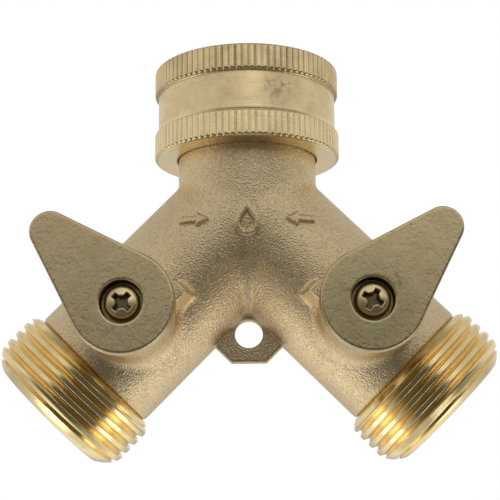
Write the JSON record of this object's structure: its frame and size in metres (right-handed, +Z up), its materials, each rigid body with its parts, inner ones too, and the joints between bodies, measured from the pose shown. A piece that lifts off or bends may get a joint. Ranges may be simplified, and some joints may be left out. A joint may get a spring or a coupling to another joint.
{
  "type": "hose splitter",
  "caption": "Brass Y-shaped garden hose splitter with a swivel inlet nut, a ball valve with a flat lever on each leg, threaded outlets and a hanging lug.",
  "frame": {"origin": "centre of the mouth of the inlet nut", "axes": "+Z up out of the inlet, towards the tap; -Y towards the levers; +X to the right outlet seen from the lever side"},
  "size_m": [0.0814, 0.0407, 0.0658],
  "materials": {
    "cast_brass": "shot-blasted casting",
    "nut_brass": "machined, knurled",
    "spring_steel": "drawn wire",
    "washer_rubber": "moulded",
    "ball_chrome": "polished plating",
    "seat_ptfe": "turned",
    "turned_brass": "turned",
    "oring_rubber": "moulded",
    "lever_bronze": "satin tumbled",
    "screw_brass": "cold headed"
  },
  "bodies": {
    "fitting": {"body": "cast_brass", "nut_snap_ring": "spring_steel", "inlet_washer": "washer_rubber", "left_inner_seat": "seat_ptfe", "left_outer_seat": "seat_ptfe", "left_seat_retainer": "turned_brass", "right_inner_seat": "seat_ptfe", "right_outer_seat": "seat_ptfe", "right_seat_retainer": "turned_brass"},
    "inlet_nut": {"swivel_nut": "nut_brass"},
    "left_valve": {"left_lever": "lever_bronze", "left_lever_screw": "screw_brass", "left_stem": "turned_brass", "left_ball": "ball_chrome", "left_lower_oring": "oring_rubber", "left_upper_oring": "oring_rubber", "left_thrust_washer": "seat_ptfe"},
    "right_valve": {"right_lever": "lever_bronze", "right_lever_screw": "screw_brass", "right_stem": "turned_brass", "right_ball": "ball_chrome", "right_lower_oring": "oring_rubber", "right_upper_oring": "oring_rubber", "right_thrust_washer": "seat_ptfe"}
  },
  "joints": [
    {"name": "nut_spin", "type": "hinge", "parent": "fitting", "child": "inlet_nut", "pos_m": [0, 0, -0.00775], "axis": [0, 0, 1], "continuous": true},
    {"name": "left_valve_turn", "type": "hinge", "parent": "fitting", "child": "left_valve", "pos_m": [-0.01817, 0, -0.04327], "axis": [0, 1, 0], "range_deg": [0, 90]},
    {"name": "right_valve_turn", "type": "hinge", "parent": "fitting", "child": "right_valve", "pos_m": [0.01817, 0, -0.04327], "axis": [0, -1, 0], "range_deg": [0, 90]}
  ]
}
